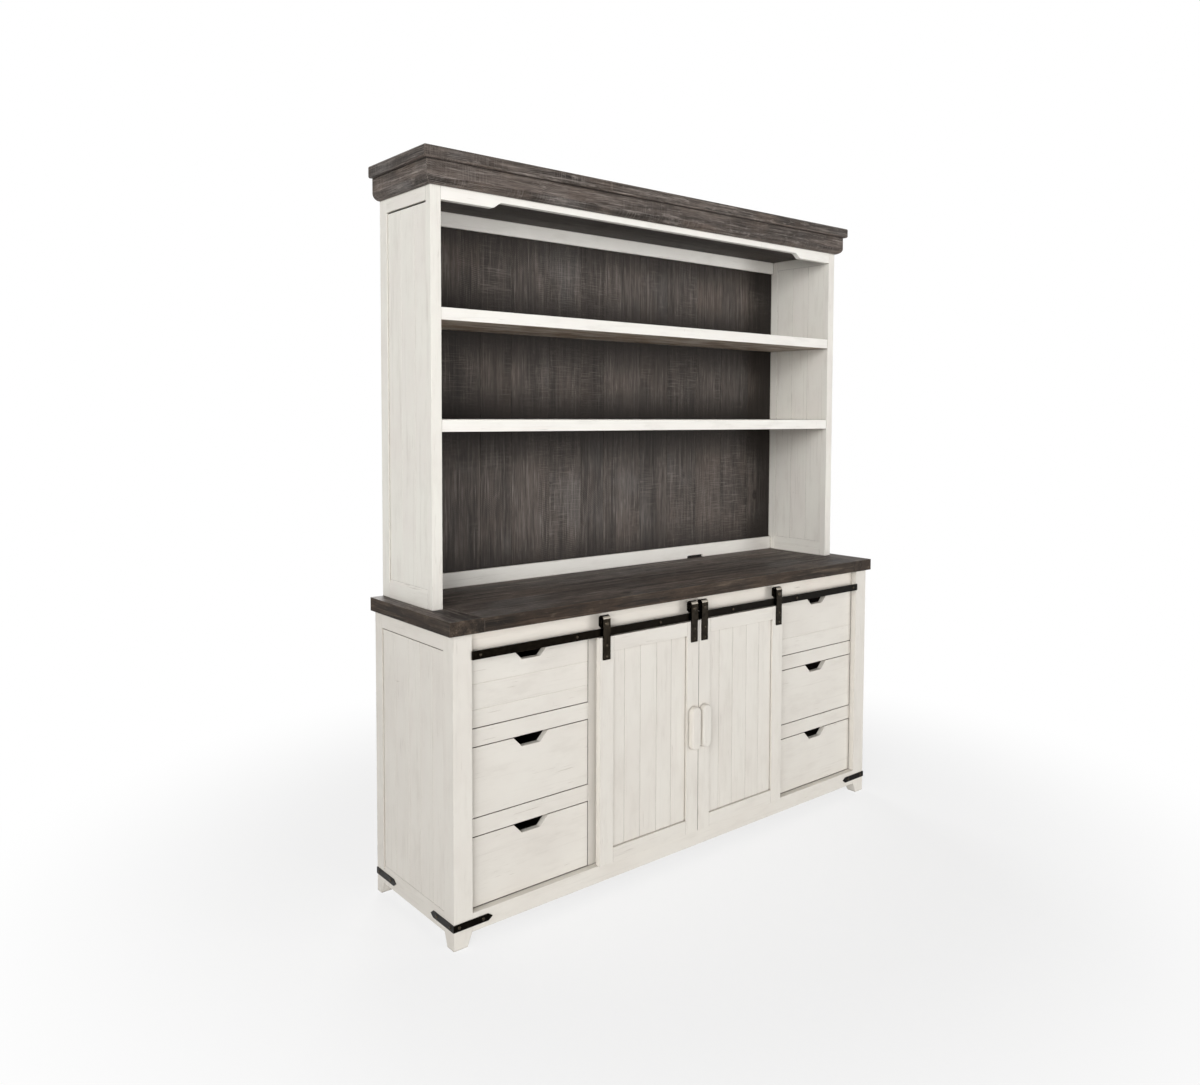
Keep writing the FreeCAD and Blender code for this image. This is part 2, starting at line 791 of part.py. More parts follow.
def drawer_box(name, x_low, x_high, z_low):
    """Grooved sides that hang on the runners, with a back and a bottom between them."""
    y_low = "face_front + front_thick"
    y_high = f"{y_low} + box_length"
    bottom = f"{z_low} + box_lift"
    height = (bottom, f"{bottom} + box_height")
    groove_low = f"{z_low} + runner_rise - runner_play"
    groove = (groove_low, f"{groove_low} + runner_height + 2 * runner_play")
    reach = "runner_width + runner_play"
    left = (f"{x_low} + box_gap", f"{x_low} + box_gap + box_side")
    right = (f"{x_high} - box_gap - box_side", f"{x_high} - box_gap")
    pieces = []
    left_slot = (x_low, f"{x_low} + {reach}")
    right_slot = (f"{x_high} - ({reach})", x_high)
    for x, slot in ((left, left_slot), (right, right_slot)):
        board = box("drawer_side_board", x, (y_low, y_high), height)
        cutter = box("groove", slot, (y_low, f"{y_high} + overrun"), groove)
        pieces.append(cut("drawer_side", board, [cutter]))
    across = (left[1], right[0])
    pieces.append(box("drawer_back", across, (f"{y_high} - box_side", y_high), height))
    base = f"{bottom} + box_bottom_lift"
    pieces.append(box("drawer_bottom", across, (y_low, f"{y_high} - box_side"),
                      (base, f"{base} + box_bottom")))
    node(name + "_box", *pieces)


def drawers():
    for word, side in SIDES.items():
        x_low, x_high = span(side, "column_inner", "post_inner")
        for tier, level in enumerate(TIERS):
            name = f"drawer_{word}_{level}"
            z_low = f"floor_top + {tier} * drawer_pitch"
            drawer_front(name, x_low, z_low, FRONT_GROOVE_SHARES[word] if level == "top" else ())
            drawer_box(name, x_low, x_high, z_low)


# Track, doors and their hangers

def track():
    grip = "face_front - track_face + track_bolt_grip"
    bar = box("track_bar", ("-track_half", "track_half"), ("track_face", "track_face + track_thick"),
              ("track_bottom", "track_top"))
    bores = [hole("track_bore", "-y", seat, "track_bolt_radius", "track_thick + overrun")
             for seat in track_seats()]
    node("barn_track", cut("barn_track", bar, bores))
    spacers = []
    for seat in track_seats():
        start = moved(seat, "+y", "track_thick")
        length = "face_front - track_face - track_thick"
        tube = cylinder("spacer_bar", "+y", start, length, "spacer_radius")
        spacers.append(cut("spacer", tube, [hole("spacer_bore", "-y", seat, "track_bolt_radius", grip)]))
    node("track_spacers", *spacers)
    node("track_bolts", *[bolt("track_bolt", "-y", seat, "track_bolt_radius", grip, "track_head_radius",
                               "track_head_top", "track_head_height") for seat in track_seats()])


def hanger_places(side):
    """The middle of each of a door's two hangers, the one at the meeting edge first."""
    middle = "hanger_inset + hanger_width / 2"
    return {"inner": f"{side}(door_meeting + {middle})",
            "outer": f"{side}(door_meeting + door_width - ({middle}))"}


def screw_seats(x):
    return [(x, "hanger_face", f"hanger_bottom + {rise}") for rise in ("screw_low", "screw_high")]


def hanger(x):
    """A flat strap that hooks over its wheel, bored for the axle and two screws."""
    tall = "hanger_top - hanger_bottom"
    inside = f"{tall} - hanger_thick"
    back_end = "track_top + hanger_back_gap - hanger_bottom"
    far = "hanger_thick + hanger_space"
    points = [("0", "0"), ("hanger_thick", "0"), ("hanger_thick", inside), (far, inside), (far, back_end),
              ("hanger_depth", back_end), ("hanger_depth", tall), ("0", tall)]
    outer = "hanger_bend + hanger_thick"
    rounds = {2: "hanger_bend", 3: "hanger_bend", 6: outer, 7: outer}
    hook = prism("hanger_hook", "yz", points, (f"{x} - hanger_width / 2", "hanger_face", "hanger_bottom"),
                 "hanger_width", rounds)
    bores = [hole("screw_bore", "-y", seat, "screw_radius", "hanger_thick + overrun")
             for seat in screw_seats(x)]
    middle = (x, "hanger_face", "axle_height")
    bores.append(hole("axle_bore", "-y", middle, "axle_radius", "hanger_depth + overrun"))
    return cut("hanger", hook, bores)


def axle(x):
    """A bolt across the hook, with its nut behind."""
    seat = (x, "hanger_face", "axle_height")
    nut = cylinder("axle_nut", "+y", moved(seat, "+y", "hanger_depth"), "nut_height", "nut_radius")
    pin = bolt("axle_pin", "-y", seat, "axle_radius", "hanger_depth + nut_height", "axle_head_radius",
               "axle_head_radius - axle_head_height", "axle_head_height")
    return joined("axle", pin, nut)


def wheel(name, x):
    """A grooved wheel: two flanges either side of the tread that runs on the track."""
    bore = "axle_radius + axle_play"
    lip = "(wheel_width - tread_width) / 2"
    points = [(bore, "0"), ("flange_radius", "0"), ("flange_radius", lip), ("tread_radius", lip),
              ("tread_radius", f"{lip} + tread_width"), ("flange_radius", f"{lip} + tread_width"),
              ("flange_radius", "wheel_width"), (bore, "wheel_width")]
    node(name, turned(name, points, (x, "track_middle - wheel_width / 2", "axle_height")))


def door(word, side):
    name = f"door_{word}"
    height = ("door_bottom", "door_top")
    depth = ("door_front", "door_back")
    edges = {"inner": ("door_meeting", "door_meeting + door_stile"),
             "outer": ("door_meeting + door_width - door_stile", "door_meeting + door_width")}
    frame = []
    for place_word, x in hanger_places(side).items():
        board = box("door_stile_board", span(side, *edges[place_word]), depth, height)
        holes = [hole("door_screw_hole", "-y", seat, "screw_radius", "hanger_thick + screw_grip")
                 for seat in screw_seats(x)]
        frame.append(cut("door_stile_bored", board, holes))
    across = span(side, edges["inner"][1], edges["outer"][0])
    between = (f"{across[0]} + seam", f"{across[1]} - seam")
    frame.append(box("door_rail_low", between, depth, ("door_bottom", "door_bottom + door_rail")))
    frame.append(box("door_rail_high", between, depth, ("door_top - door_rail", "door_top")))
    node(name + "_frame", *frame)
    face = "door_front + door_panel_recess"
    node(name + "_panel", *[box("door_plank", x, (face, f"{face} + door_panel_thick"),
                                ("door_bottom + door_rail", "door_top - door_rail"))
                            for x in rows(DOOR_PLANK_SHARES, *across)])
    node(name + "_hangers", *[hanger(x) for x in hanger_places(side).values()])
    bolts = [axle(x) for x in hanger_places(side).values()]
    bolts += [bolt("hanger_screw", "-y", seat, "screw_radius", "hanger_thick + screw_grip",
                   "screw_head_radius", "screw_head_top", "screw_head_height")
              for x in hanger_places(side).values() for seat in screw_seats(x)]
    node(name + "_bolts", *bolts)
    x_low, _ = span(side, "door_meeting + pull_inset", "door_meeting + pull_inset + pull_width")
    corners = [("0", "0"), ("pull_width", "0"), ("pull_width", "pull_height"), ("0", "pull_height")]
    rounds = {k: "pull_round" for k in range(len(corners))}
    at = (x_low, "door_front", "door_bottom + pull_rise")
    node(name + "_pull", prism(name + "_pull", "xz", corners, at, "pull_proud", rounds, "pull_ease"))
    for place_word, x in hanger_places(side).items():
        wheel(f"{name}_wheel_{place_word}", x)


# Hutch

def hutch_sides():
    stiles = []
    rails = []
    planks = []
    for side in SIDES.values():
        x = span(side, "hutch_inner", "hutch_half")
        for y in (("hutch_front", "hutch_side_front"), ("hutch_side_rear", "rear")):
            stiles.append(box("hutch_stile_board", x, y, ("counter_height", "cap_bottom")))
        section = bevelled(side, "hutch_stile", "hutch_bottom_rail", "hutch_panel_recess", "hutch_bevel",
                           "hutch_stile - hutch_panel_recess - hutch_panel_thick", "hutch_ledge")
        blank = prism("hutch_bottom_rail_blank", "xz", section, (x[0], "hutch_side_rear", "counter_height"),
                      "hutch_side_rear - hutch_side_front")
        cutters = [cylinder("dowel_bore", "+z", moved(seat, "+z", "-overrun"), "dowel_length / 2 + overrun",
                            "dowel_radius + hole_clear") for seat in dowel_seats(side)]
        rails.append(cut("hutch_bottom_rail_bored", blank, cutters))
        rails.append(box("hutch_top_rail", x, ("hutch_side_front", "hutch_side_rear"),
                         ("hutch_panel_top", "cap_bottom")))
        face = "hutch_half - hutch_panel_recess"
        x = span(side, f"{face} - hutch_panel_thick", face)
        for y in rows(HUTCH_SIDE_PLANK_SHARES, "hutch_side_front", "hutch_side_rear"):
            board = box("hutch_side_board", x, y, ("hutch_panel_bottom", "hutch_panel_top"))
            slot = shadow_slot(side, face, y, "hutch_panel_top")
            planks.append(cut("hutch_side_plank", board, [slot]))
    node("hutch_stiles", *stiles)
    node("hutch_side_rails", *rails)
    node("hutch_side_panels", *planks)


def valance():
    """The front board under the cornice, its lower edge raised between two curved steps."""
    wide = "2 * hutch_inner"
    tall = "cap_bottom - valance_bottom"
    step_end = "valance_step + valance_run"
    points = [("0", "0"), ("valance_step", "0"), (step_end, "valance_rise"),
              (f"{wide} - ({step_end})", "valance_rise"), (f"{wide} - valance_step", "0"),
              (wide, "0"), (wide, tall), ("0", tall)]
    at = ("-hutch_inner", "hutch_front + valance_thick", "valance_bottom")
    rounds = {k: "valance_round" for k in (1, 2, 3, 4)}
    node("valance", prism("valance", "xz", points, at, "valance_thick", rounds))


def hutch_back():
    across = ("-hutch_inner", "hutch_inner")
    notch_x = ("cable_place - cable_width / 2", "cable_place + cable_width / 2")
    depth = ("hutch_back_front", "hutch_back_front + hutch_back_thick")
    node("hutch_back_panel", *[box("hutch_back_plank", x, depth, ("counter_height", "cap_bottom"))
                               for x in rows(HUTCH_BACK_PLANK_SHARES, *across)])
    wide = "2 * hutch_inner"
    left, right = (f"hutch_inner + {x}" for x in notch_x)
    points = [("0", "0"), (left, "0"), (left, "cable_height"), (right, "cable_height"), (right, "0"),
              (wide, "0"), (wide, "back_rail_bottom"), ("0", "back_rail_bottom")]
    low = prism("back_rail_low", "xz", points, ("-hutch_inner", "hutch_back_front", "counter_height"),
                "back_rail_thick", {2: "cable_round", 3: "cable_round"})
    high = box("back_rail_high", across, ("back_rail_front", "hutch_back_front"),
               ("soffit_bottom - back_rail_top", "soffit_bottom"))
    node("hutch_back_rails", low, high)


def hutch_boards():
    across = ("-hutch_inner", "hutch_inner")
    depth = ("hutch_front + shelf_setback", "hutch_back_front")
    for word in ("upper", "lower"):
        top = f"shelf_{word}_height"
        node(f"shelf_{word}", box(f"shelf_{word}", across, depth, (f"{top} - shelf_thick", top)))
    node("hutch_soffit", box("hutch_soffit", across, ("hutch_front + valance_thick", "hutch_back_front"),
                             ("soffit_bottom", "soffit_bottom + soffit_thick")))


def wrapped(name, out, wide, low, tall, rounds):
    """Boards round the hutch's front and sides, mitred at the front corners. out is how far they stand
    out, wide is their width, and rounds gives the radius of some outer edges, low or high."""
    length = f"hutch_width + 2 * {out}"
    run = f"hutch_depth + {out}"
    square = [("0", "0"), (wide, "0"), (wide, tall), ("0", tall)]
    left_corners = {"low": 0, "high": 3}
    right_corners = {"low": 1, "high": 2}
    left_rounds = {left_corners[edge]: radius for edge, radius in rounds.items()}
    right_rounds = {right_corners[edge]: radius for edge, radius in rounds.items()}
    start = (f"-hutch_half - {out}", f"hutch_front - {out}", low)
    section = prism(name + "_front_section", "yz", square, start, length, left_rounds)
    plan = [("0", "0"), (length, "0"), (f"{length} - {wide}", wide), (wide, wide)]
    boards = [common(name + "_front", section, prism(name + "_front_plan", "xy", plan, start, tall))]
    for side in SIDES.values():
        x_low, _ = span(side, f"hutch_half + {out} - {wide}", f"hutch_half + {out}")
        section = prism(name + "_side_section", "xz", square, (x_low, "rear", low), run,
                        left_rounds if side == "-" else right_rounds)
        plan = [("0", f"{wide} + seam"), (wide, "seam"), (wide, run), ("0", run)]
        if side == "-":
            plan = mirrored(plan, wide)
        cutter = prism(name + "_side_plan", "xy", plan, (x_low, f"hutch_front - {out}", low), tall)
        boards.append(common(name + "_side", section, cutter))
    return boards


def cornice():
    """The moulding, and the cap on it: a mitred frame round two boards."""
    node("cornice_mould", *wrapped("mould", "mould_reach", "mould_reach", "cornice_bottom",
                                   "cap_bottom - cornice_bottom", {"low": "mould_round"}))
    cap = wrapped("cap", "cap_reach", "cap_board", "cap_bottom", "cap_thick",
                  {"low": "cap_ease", "high": "cap_ease"})
    half = "hutch_half + cap_reach - cap_board - seam"
    for y in rows(CAP_PLANK_SHARES, "hutch_front - cap_reach + cap_board + seam", "rear"):
        cap.append(box("cap_board_inside", (f"-({half})", half), y, ("cap_bottom", "overall_height")))
    node("cornice_cap", *cap)


# Building, checking and writing

def check():
    """Stops with a message if any object failed or any piece isn't a valid solid."""
    failed = [item.Label for item in doc.Objects if {"Invalid", "Error"} & set(item.State)]
    if failed:
        raise RuntimeError(f"failed objects: {failed}")
    for piece in nodes:
        if piece.Shape.isNull() or not piece.Shape.isValid() or not piece.Shape.Solids:
            raise RuntimeError(f"bad shape: {piece.Label}")


def build():
    fill_sheet()
    counter()
    posts()
    side_frames()
    face_frame()
    carcass()
    corner_straps()
    runners()
    drawers()
    track()
    for word, side in SIDES.items():
        door(word, side)
    hutch_sides()
    valance()
    hutch_back()
    hutch_boards()
    cornice()
    doc.recompute()


def write():
    os.makedirs("parts", exist_ok=True)
    for piece in nodes:
        piece.Shape.exportStep(os.path.join("parts", piece.Label + ".step"))


build()
check()
write()
print(len(nodes), "nodes,", sum(len(piece.Shape.Solids) for piece in nodes), "solids")
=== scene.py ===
"""Looks of the buffet and hutch: camera, studio light, and procedural paint, stained wood and iron on the
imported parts. Lengths are in metres and colours are linear."""
import math

import bpy
from mathutils import Matrix, Vector


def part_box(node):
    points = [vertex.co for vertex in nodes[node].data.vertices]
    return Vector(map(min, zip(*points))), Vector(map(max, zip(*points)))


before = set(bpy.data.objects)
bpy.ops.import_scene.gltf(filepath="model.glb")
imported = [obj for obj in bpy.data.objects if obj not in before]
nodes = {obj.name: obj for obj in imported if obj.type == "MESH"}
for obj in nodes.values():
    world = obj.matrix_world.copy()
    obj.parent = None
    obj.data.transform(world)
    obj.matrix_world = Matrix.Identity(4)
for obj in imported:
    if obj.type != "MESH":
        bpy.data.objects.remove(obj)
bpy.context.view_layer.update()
scene = bpy.context.scene

# Camera, from a fit to the photograph's corner points
IMAGE = (1200, 1085)
FOCAL_PIXELS = 980.0
PRINCIPAL = (640, 465)
SENSOR = 36
EYE = Vector((-2.13775, -2.41698, 1.41003))
YAW, PITCH, ROLL = (math.radians(angle) for angle in (-40.653, -2.937, 0.298))

# Paint in four tones, each with the rosier one that clouds it, then the glaze, bare wood and grime that show
# where it is rubbed, dirty and darkened in cracks with painted shade
PAINT = (0.750, 0.716, 0.656, 1)
PAINT_ROSE = (0.717, 0.677, 0.619, 1)
# Lighter copies of the paint that are painted light: the outside of the hutch, then its shelves, valance and
# back rails, then the rail under the counter's overhang look more brightly lit than the lamps make them
PAINT_UPPER_LIT = (0.820, 0.798, 0.732, 1)
PAINT_UPPER_LIT_ROSE = (0.796, 0.758, 0.702, 1)
PAINT_BRIGHT_LIT = (0.900, 0.878, 0.822, 1)
PAINT_BRIGHT_LIT_ROSE = (0.885, 0.850, 0.798, 1)
PAINT_WARM_LIT = (0.850, 0.798, 0.718, 1)
PAINT_WARM_LIT_ROSE = (0.832, 0.770, 0.690, 1)
PAINT_GLAZE_AND_SHADE = (0.40, 0.355, 0.30, 1)
PAINT_BARE = (0.30, 0.245, 0.19, 1)
GRIME_AND_SHADE = (0.062, 0.052, 0.043, 1)

# Bare wood under the shelves
UNDER = (0.34, 0.255, 0.185, 1)
UNDER_DARK = (0.125, 0.084, 0.056, 1)
UNDER_KNOT = (0.050, 0.031, 0.020, 1)

# Stained wood; the last tint darkens upright faces, partly as heavier stain and partly as painted shade
WOOD_DEEP = (0.017, 0.0138, 0.0118, 1)
WOOD_MID = (0.102, 0.083, 0.072, 1)
WOOD_PALE = (0.330, 0.288, 0.258, 1)
WOOD_WORN = (0.50, 0.43, 0.365, 1)
WOOD_COOL = (0.135, 0.127, 0.122, 1)
WOOD_WARM = (0.115, 0.084, 0.066, 1)
WOOD_EVEN = (0.092, 0.080, 0.073, 1)
UPRIGHT_STAIN_AND_SHADE = (0.322, 0.278, 0.229, 1)

# Metal, and the wood and board that are mostly hidden
IRON = (0.0030, 0.0023, 0.0015, 1)
IRON_WARM = (0.0058, 0.0044, 0.0029, 1)
IRON_WORN = (0.16, 0.13, 0.095, 1)
# A painted highlight for the tops of the hangers' bends
IRON_PAINTED_GLINT = (0.42, 0.38, 0.32, 1)
STEEL = (0.55, 0.55, 0.56, 1)
STEEL_DULL = (0.38, 0.38, 0.39, 1)
PINE = (0.62, 0.44, 0.26, 1)
PINE_DARK = (0.42, 0.27, 0.14, 1)
BOARD = (0.33, 0.23, 0.15, 1)
BOARD_DARK = (0.21, 0.14, 0.085, 1)

# How far wear reaches back from an edge
PAINT_RUB = 0.0022
STAIN_RUB = 0.0035
IRON_RUB = 0.0014

# How near a neighbour stands where a crack is darkened with dirt and painted shade, and how far the painted
# shade deep in the hutch back reaches
PAINT_CRACK = 0.008
STAIN_CRACK = 0.012
PAINTED_SHADE_REACH = 0.175

# Depth of each surface's relief, and specular level of paint and stain
PAINT_RELIEF = 0.0008
STAIN_RELIEF = 0.0012
IRON_RELIEF = 0.0006
PLAIN_RELIEF = 0.0006
STEEL_RELIEF = 0.0002
PAINT_SPECULAR = 0.3
STAIN_SPECULAR = 0.13

# Saw marks: staves per metre, waves up a stave and the spread of their lean across it, both in radians per
# metre, and how far they wander, in radians
STAVES = 11.0
KERFS = 1000.0
KERF_LEAN = 2200.0
KERF_WANDER = 9.0

# Shift of the patterns from board to board, and rays for the edge and crack masks
BOARD_SHIFT = (37.0, 53.0, 71.0)
EDGE_SAMPLES = 4
CRACK_SAMPLES = 6

# Width of the boards that frame the cap
CAP_BOARD = 0.090

# Rounding of edges: widths and steps, the least angle that is rounded, the distance that joins split faces,
# the angle that counts as flat, and how much large faces lead the smooth shading
EASE = 0.0011
EASE_IRON = 0.0006
EASE_SEGMENTS = 2
EASE_SHARP = math.radians(35)
WELD = 0.00004
FLAT = math.radians(0.6)
FACE_WEIGHT = 100

# Studio: strength of the sky, and power, size, place and aim of each lamp
SKY = 0.03
AIM = Vector((0, 0, 1.2))
REAR_AIM = Vector((0, 0, 1.0))
LAMPS = {
    "left": (79, 1.8, Vector((-5.3, -1.9, 3.0)), AIM),
    "key": (456, 3.9, Vector((-6.9, -6.0, 3.0)), AIM),
    "right": (84, 2.8, Vector((4.1, -5.9, 1.6)), AIM),
    "low": (90, 1.7, Vector((3.9, -5.9, 0.86)), AIM),
    "front": (30, 2.4, Vector((0, -5.9, 1.1)), AIM),
    "rear": (120, 2.0, Vector((1.8, 4.8, 2.6)), REAR_AIM),
}

# Floor: its size and colour, the white of the background, and the share of its shading that the camera sees
# out to one distance, fading to none at another
FLOOR_HALF = 30
FLOOR = (0.92, 0.92, 0.92, 1)
WHITE = (1, 1, 1, 1)
SHADOW_SHARE = 0.25
SHADOW_NEAR = 0.9
SHADOW_FAR = 2.2

# Sockets of the Mix node
MIX_FACTOR = 0
MIX_VECTORS = (4, 5)
MIX_COLOURS = (6, 7)
MIX_VECTOR_OUT = 1
MIX_COLOUR_OUT = 2


def add_camera():
    ahead = Vector((-math.sin(YAW) * math.cos(PITCH), math.cos(YAW) * math.cos(PITCH), math.sin(PITCH)))
    level = Vector((math.cos(YAW), math.sin(YAW), 0))
    above = level.cross(ahead)
    right = math.cos(ROLL) * level + math.sin(ROLL) * above
    up = math.cos(ROLL) * above - math.sin(ROLL) * level
    data = bpy.data.cameras.new("camera")
    data.sensor_width = SENSOR
    data.lens = FOCAL_PIXELS / IMAGE[0] * SENSOR
    data.shift_x = (IMAGE[0] / 2 - PRINCIPAL[0]) / IMAGE[0]
    data.shift_y = (PRINCIPAL[1] - IMAGE[1] / 2) / IMAGE[0]
    camera = bpy.data.objects.new("camera", data)
    camera.matrix_world = Matrix.Translation(EYE) @ Matrix((right, up, -ahead)).transposed().to_4x4()
    scene.collection.objects.link(camera)
    scene.camera = camera


class Nodes:
    """Short calls that add shader nodes to one tree."""

    def __init__(self, tree):
        self.tree = tree

    def put(self, kind, inputs, **settings):
        made = self.tree.nodes.new("ShaderNode" + kind)
        for name, setting in settings.items():
            setattr(made, name, setting)
        for socket, given in inputs.items():
            self.feed(made.inputs[socket], given)
        return made

    def feed(self, socket, given):
        if isinstance(given, bpy.types.NodeSocket):
            self.tree.links.new(given, socket)
        else:
            socket.default_value = given

    def math(self, operation, first, second=0.0):
        return self.put("Math", {0: first, 1: second}, operation=operation).outputs[0]

    def plus(self, first, second):
        return self.math("ADD", first, second)

    def minus(self, first, second):
        return self.math("SUBTRACT", first, second)

    def times(self, first, second):
        return self.math("MULTIPLY", first, second)

    def unsigned(self, given):
        return self.math("ABSOLUTE", given)

    def ramp(self, given, low, high):
        """0 at low, 1 at high, smooth between."""
        return self.put("MapRange", {"Value": given, "From Min": low, "From Max": high},
                        interpolation_type="SMOOTHSTEP").outputs[0]

    def mix(self, factor, first, second, blend="MIX"):
        low, high = MIX_COLOURS
        inputs = {MIX_FACTOR: factor, low: first, high: second}
        return self.put("Mix", inputs, data_type="RGBA", blend_type=blend).outputs[MIX_COLOUR_OUT]

    def cover(self, colour, over, mask, share, blend="MIX"):
        """Lays a second colour over the first, by a share of a mask."""
        return self.mix(self.times(mask, share), colour, over, blend)

    def noise(self, vector, detail, roughness, distortion=0.0):
        inputs = {"Vector": vector, "Scale": 1.0, "Detail": detail, "Roughness": roughness,
                  "Distortion": distortion}
        return self.put("TexNoise", inputs).outputs[0]

    def scaled(self, vector, scale):
        return self.put("Mapping", {"Vector": vector, "Scale": scale}).outputs[0]

    def parts(self, vector):
        """The x, y and z of a vector."""
        return self.put("SeparateXYZ", {0: vector}).outputs


class Surface(Nodes):
    """One material of the object, with coordinates that differ from board to board."""

    def __init__(self, name):
        self.material = bpy.data.materials.new(name)
        self.material.use_nodes = True
        super().__init__(self.material.node_tree)
        self.shader = self.tree.nodes["Principled BSDF"]
        self.place = self.put("TexCoord", {}).outputs["Object"]
        geometry = self.put("NewGeometry", {})
        self.normal = geometry.outputs["Normal"]
        self.board = geometry.outputs["Random Per Island"]
        shift = self.put("VectorMath", {0: BOARD_SHIFT, "Scale": self.board}, operation="SCALE").outputs[0]
        self.coords = self.put("VectorMath", {0: self.place, 1: shift}, operation="ADD").outputs[0]

    def evenly(self, count):
        """Coordinates for a pattern that repeats so many times per metre each way."""
        return self.scaled(self.coords, (count, count, count))

    def along(self, axis, length, width):
        """Coordinates that stretch a pattern along an axis; length and width are patterns per metre."""
        scale = [width] * 3
        scale["xyz".index(axis)] = length
        return self.scaled(self.coords, scale)

    def grain(self, axis, length, width):
        """The same, where axis may be two axes and a mask that chooses the second."""
        if isinstance(axis, str):
            return self.along(axis, length, width)
        first, second, mask = axis
        low, high = MIX_VECTORS
        ways = {low: self.along(first, length, width), high: self.along(second, length, width)}
        return self.put("Mix", {MIX_FACTOR: mask, **ways}, data_type="VECTOR").outputs[MIX_VECTOR_OUT]

    def facing_up(self):
        """1 where the surface looks up, -1 where it looks down."""
        return self.parts(self.normal)[2]

    def edges(self, radius):
        """1 on edges and 0 on flats."""
        soft = self.put("Bevel", {"Radius": radius}, samples=EDGE_SAMPLES).outputs[0]
        facing = self.put("VectorMath", {0: soft, 1: self.normal}, operation="DOT_PRODUCT").outputs["Value"]
        return self.ramp(self.minus(1.0, facing), 0.01, 0.16)

    def shelter(self, distance):
        """How far the surface is shut in by what stands near it: 0 in the open, 1 in a crack."""
        sky = self.put("AmbientOcclusion", {"Distance": distance}, samples=CRACK_SAMPLES)
        return self.minus(1.0, sky.outputs["AO"])

    def finish(self, colour, roughness, height, depth, strength):
        self.feed(self.shader.inputs["Base Color"], colour)
        self.feed(self.shader.inputs["Roughness"], roughness)
        bump = self.put("Bump", {"Height": height, "Strength": strength, "Distance": depth})
        self.feed(self.shader.inputs["Normal"], bump.outputs[0])
        return self.material


def grain_axis(s, axis):
    """An axis as it is, or what one of the functions below makes for this surface."""
    return axis(s) if callable(axis) else axis


def door_axis(s):
    """Upright grain on the stiles and level grain on the rails between them."""
    low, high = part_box("door_right_panel")
    middle = (low[0] + high[0]) / 2
    half = (high[0] - low[0]) / 2
    across = s.unsigned(s.parts(s.place)[0])
    off = s.unsigned(s.minus(across, middle))
    return "z", "x", s.math("LESS_THAN", off, half)


def mould_axis(s):
    """Level grain along the front, and from front to back on the side pieces, split on the mitre."""
    low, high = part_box("hutch_stiles")
    split = s.parts(s.place)
    past_side = s.minus(s.unsigned(split[0]), high[0])
    past_front = s.minus(low[1], split[1])
    return "x", "y", s.math("GREATER_THAN", past_side, past_front)


def cap_axis(s):
    """The same on the cap, where only the frame's side boards run from front to back."""
    first, second, side = mould_axis(s)
    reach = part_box("cornice_cap")[1][0]
    across = s.unsigned(s.parts(s.place)[0])
    return first, second, s.math("MINIMUM", side, s.math("GREATER_THAN", across, reach - CAP_BOARD))


